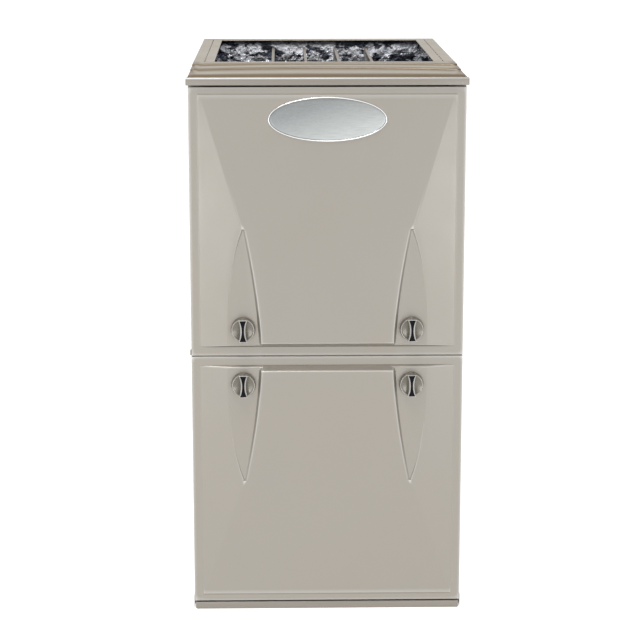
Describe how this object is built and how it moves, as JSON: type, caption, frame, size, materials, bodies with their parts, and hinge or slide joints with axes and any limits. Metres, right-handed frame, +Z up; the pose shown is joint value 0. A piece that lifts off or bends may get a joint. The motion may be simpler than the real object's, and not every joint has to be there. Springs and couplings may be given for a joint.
{
  "type": "forced air gas furnace",
  "caption": "Upflow condensing gas furnace in a sheet-metal cabinet with two lift-out pressed doors, quarter-turn knobs and an open supply-air outlet in its top.",
  "frame": {"origin": "on the floor, under the middle of the bounding box", "axes": "+Z up, +Y towards the back of the furnace, +X to the right as seen from its doors"},
  "size_m": [0.4492, 0.773, 0.889],
  "materials": {
    "cabinet_paint": "satin, fine metallic warm grey",
    "galvanised_sheet": "galvanised, matt spangle",
    "foil_insulation": "foil-faced glass fibre, crumpled mirror foil",
    "aluminised_steel": "aluminised, satin",
    "coil_aluminium": "mill finish fins",
    "badge_aluminium": "fine horizontal brushing",
    "bright_trim": "polished",
    "black_plastic": "moulded, matt",
    "grey_plastic": "moulded, matt",
    "black_enamel": "satin black",
    "motor_black": null,
    "plain_steel": "zinc plated",
    "cast_aluminium": "as cast",
    "ceramic": "unglazed",
    "black_rubber": "smooth",
    "circuit_board": "solder mask",
    "satin_nickel": "satin nickel plate"
  },
  "bodies": {
    "cabinet": {"side_panel_left": "cabinet_paint", "side_panel_right": "cabinet_paint", "back_panel": "cabinet_paint", "top_plate": "cabinet_paint", "base_strip": "cabinet_paint", "bottom_closure_panel": "galvanised_sheet", "center_rail": "cabinet_paint", "blower_deck": "galvanised_sheet", "cell_panel": "galvanised_sheet", "foil_liner": "foil_insulation", "heat_exchanger_cell_1": "aluminised_steel", "heat_exchanger_cell_2": "aluminised_steel", "heat_exchanger_cell_3": "aluminised_steel", "heat_exchanger_cell_4": "aluminised_steel", "secondary_coil": "coil_aluminium", "coupling_box": "black_plastic", "inducer_housing": "black_plastic", "inducer_motor": "motor_black", "vent_pipe": "grey_plastic", "burner_box": "galvanised_sheet", "burners": "plain_steel", "gas_manifold": "black_enamel", "gas_valve": "cast_aluminium", "gas_inlet_pipe": "black_enamel", "igniter": "ceramic", "flame_sensor": "ceramic", "rollout_switches": "black_plastic", "limit_switch": "black_plastic", "pressure_switch": "grey_plastic", "condensate_trap": "grey_plastic", "condensate_hose": "black_rubber", "blower_housing": "galvanised_sheet", "blower_motor": "motor_black", "motor_mount": "plain_steel", "control_box": "galvanised_sheet", "control_board": "circuit_board", "transformer": "motor_black", "door_switch": "black_plastic", "wire_harness": "black_rubber"},
    "upper_door": {"upper_door": "cabinet_paint", "upper_door_liner": "foil_insulation", "badge_rim": "bright_trim", "badge_plate": "badge_aluminium"},
    "lower_door": {"lower_door": "cabinet_paint", "lower_door_liner": "galvanised_sheet"},
    "knob_upper_left": {"knob_upper_left": "satin_nickel", "latch_upper_left": "plain_steel"},
    "knob_upper_right": {"knob_upper_right": "satin_nickel", "latch_upper_right": "plain_steel"},
    "knob_lower_left": {"knob_lower_left": "satin_nickel", "latch_lower_left": "plain_steel"},
    "knob_lower_right": {"knob_lower_right": "satin_nickel", "latch_lower_right": "plain_steel"},
    "blower_rotor": {"blower_wheel": "galvanised_sheet", "blower_wheel_hub": "plain_steel"},
    "inducer_rotor": {"inducer_wheel": "grey_plastic", "inducer_cooling_fan": "grey_plastic"},
    "gas_valve_switch": {"gas_valve_knob": "black_plastic"},
    "switch_button": {"door_switch_button": "grey_plastic"}
  },
  "joints": [
    {"name": "upper_door_tilt", "type": "hinge", "parent": "cabinet", "child": "upper_door", "pos_m": [0, -0.3575, 0.871], "axis": [-1, 0, 0], "range_deg": [0, 30]},
    {"name": "lower_door_tilt", "type": "hinge", "parent": "cabinet", "child": "lower_door", "pos_m": [0, -0.363, 0.0138], "axis": [1, 0, 0], "range_deg": [0, 30]},
    {"name": "knob_upper_left_turn", "type": "hinge", "parent": "upper_door", "child": "knob_upper_left", "pos_m": [-0.1368, -0.37, 0.48], "axis": [0, 1, 0], "range_deg": [0, 90]},
    {"name": "knob_upper_right_turn", "type": "hinge", "parent": "upper_door", "child": "knob_upper_right", "pos_m": [0.1368, -0.37, 0.48], "axis": [0, 1, 0], "range_deg": [0, 90]},
    {"name": "knob_lower_left_turn", "type": "hinge", "parent": "lower_door", "child": "knob_lower_left", "pos_m": [-0.1368, -0.37, 0.388], "axis": [0, 1, 0], "range_deg": [0, 90]},
    {"name": "knob_lower_right_turn", "type": "hinge", "parent": "lower_door", "child": "knob_lower_right", "pos_m": [0.1368, -0.37, 0.388], "axis": [0, 1, 0], "range_deg": [0, 90]},
    {"name": "blower_spin", "type": "hinge", "parent": "cabinet", "child": "blower_rotor", "pos_m": [0, 0.0575, 0.225], "axis": [1, 0, 0], "continuous": true},
    {"name": "inducer_spin", "type": "hinge", "parent": "cabinet", "child": "inducer_rotor", "pos_m": [0.03, -0.18, 0.571], "axis": [0, 1, 0], "continuous": true},
    {"name": "gas_valve_turn", "type": "hinge", "parent": "cabinet", "child": "gas_valve_switch", "pos_m": [-0.175, -0.2708, 0.807], "axis": [0, 1, 0], "range_deg": [0, 90]},
    {"name": "switch_button_travel", "type": "slide", "parent": "cabinet", "child": "switch_button", "axis": [0, -1, 0], "range_m": [0, 0.0035]}
  ],
  "couplings": [
    {"joint": "switch_button_travel", "follows": "lower_door_tilt", "m_per_rad": 0.0065}
  ]
}
